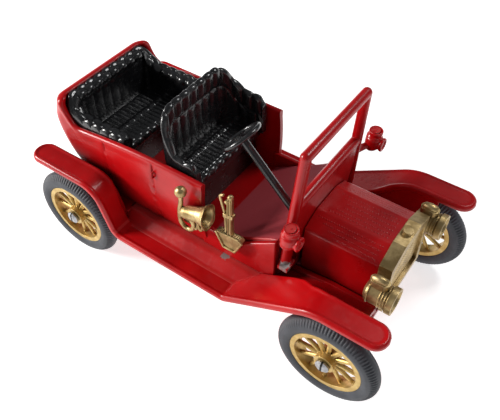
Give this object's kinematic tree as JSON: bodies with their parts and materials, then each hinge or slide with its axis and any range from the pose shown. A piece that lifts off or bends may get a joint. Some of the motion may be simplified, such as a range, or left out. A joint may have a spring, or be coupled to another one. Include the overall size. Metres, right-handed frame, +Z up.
{
  "type": "toy car",
  "caption": "Open veteran touring car toy with free-rolling spoked wheels, mudguards, running boards, windscreen, lamps, horn and tufted seats.",
  "frame": {"origin": "on the ground under the middle of the car", "axes": "+X forward to the radiator, +Y to the left side of the car, +Z up"},
  "size_m": [0.0804, 0.0422, 0.045],
  "materials": {
    "red_enamel": "glossy red enamel on die-cast zinc",
    "brass_plate": "bright brass-coloured plating with slight tarnish",
    "black_plastic": "glossy black moulded plastic",
    "tyre": "satin dark grey moulded tyre with fine ribs on its shoulders",
    "gold_plastic": "satin gold-coloured moulded plastic",
    "steel": "plain drawn steel"
  },
  "bodies": {
    "car": {"chassis_casting": "red_enamel", "body_casting": "red_enamel", "windscreen_casting": "red_enamel", "base_plate": "red_enamel", "base_rivets": "steel", "radiator_shell": "brass_plate", "bulb_horn": "brass_plate", "brake_lever": "brass_plate", "rear_seat": "black_plastic", "front_seat": "black_plastic", "steering_wheel": "black_plastic"},
    "front_axle_body": {"front_axle": "steel"},
    "rear_axle_body": {"rear_axle": "steel"},
    "front_right_wheel_body": {"wheel_front_right": "gold_plastic", "tyre_front_right": "tyre"},
    "front_left_wheel_body": {"wheel_front_left": "gold_plastic", "tyre_front_left": "tyre"},
    "rear_right_wheel_body": {"wheel_rear_right": "gold_plastic", "tyre_rear_right": "tyre"},
    "rear_left_wheel_body": {"wheel_rear_left": "gold_plastic", "tyre_rear_left": "tyre"}
  },
  "joints": [
    {"name": "front_axle_spin", "type": "hinge", "parent": "car", "child": "front_axle_body", "pos_m": [0.0302, 0, 0.01], "axis": [0, 1, 0], "continuous": true},
    {"name": "rear_axle_spin", "type": "hinge", "parent": "car", "child": "rear_axle_body", "pos_m": [-0.0302, 0, 0.01], "axis": [0, 1, 0], "continuous": true},
    {"name": "front_right_wheel_spin", "type": "hinge", "parent": "front_axle_body", "child": "front_right_wheel_body", "pos_m": [0.0302, -0.0185, 0.01], "axis": [0, 1, 0], "continuous": true},
    {"name": "front_left_wheel_spin", "type": "hinge", "parent": "front_axle_body", "child": "front_left_wheel_body", "pos_m": [0.0302, 0.0185, 0.01], "axis": [0, 1, 0], "continuous": true},
    {"name": "rear_right_wheel_spin", "type": "hinge", "parent": "rear_axle_body", "child": "rear_right_wheel_body", "pos_m": [-0.0302, -0.0185, 0.01], "axis": [0, 1, 0], "continuous": true},
    {"name": "rear_left_wheel_spin", "type": "hinge", "parent": "rear_axle_body", "child": "rear_left_wheel_body", "pos_m": [-0.0302, 0.0185, 0.01], "axis": [0, 1, 0], "continuous": true}
  ]
}
